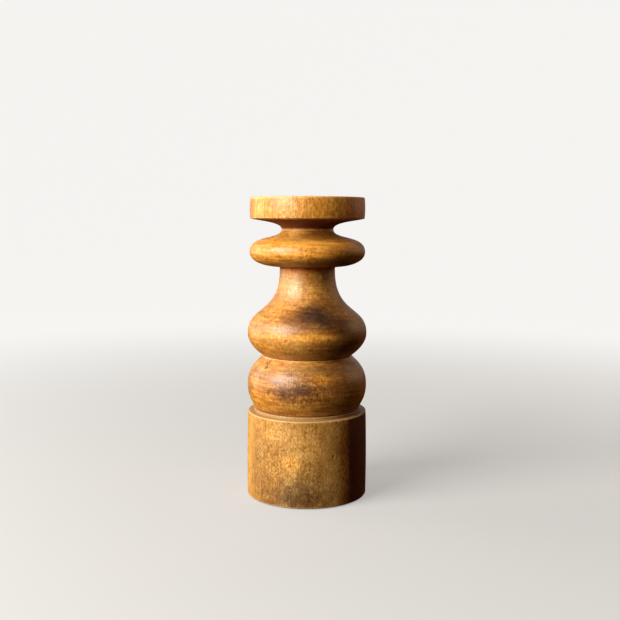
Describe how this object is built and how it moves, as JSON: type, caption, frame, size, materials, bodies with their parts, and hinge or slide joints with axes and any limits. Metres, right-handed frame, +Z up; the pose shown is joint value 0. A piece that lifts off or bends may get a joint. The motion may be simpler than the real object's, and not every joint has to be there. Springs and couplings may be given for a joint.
{
  "type": "candlestick",
  "caption": "Turned wooden pillar candlestick: cylindrical drum base, stacked rounded sections and a flat-topped round plate with a shallow spiked recess for a pillar candle.",
  "frame": {"origin": "centre of the felt pad's lower face, on the surface that the candlestick stands on", "axes": "+Z up along the turning axis; the object is round, so +X is only the direction of the first disc screw"},
  "size_m": [0.1216, 0.1216, 0.3],
  "materials": {
    "felt": "dark felt",
    "drum_wood": "stained brown, worn satin varnish, upright grain",
    "bulb_wood": "golden brown stain, worn satin varnish, turning lines",
    "pear_wood": "golden brown stain, worn satin varnish, turning lines",
    "ring_wood": "amber brown stain, worn satin varnish, level streaks",
    "plate_wood": "amber stain, worn satin varnish, mottled figure",
    "dowel_wood": "bare beech",
    "disc_steel": "dull steel",
    "spike_steel": "dull steel",
    "screw_steel": "dull steel"
  },
  "bodies": {
    "root": {"felt_pad": "felt", "base_drum": "drum_wood", "drum_dowel": "dowel_wood", "lower_bulb": "bulb_wood", "bulb_dowel": "dowel_wood", "pear_body": "pear_wood", "neck_dowel": "dowel_wood", "upper_ring": "ring_wood", "plate_dowel": "dowel_wood", "candle_plate": "plate_wood", "spike_disc": "disc_steel", "candle_spike": "spike_steel", "disc_screws": "screw_steel"}
  },
  "joints": []
}
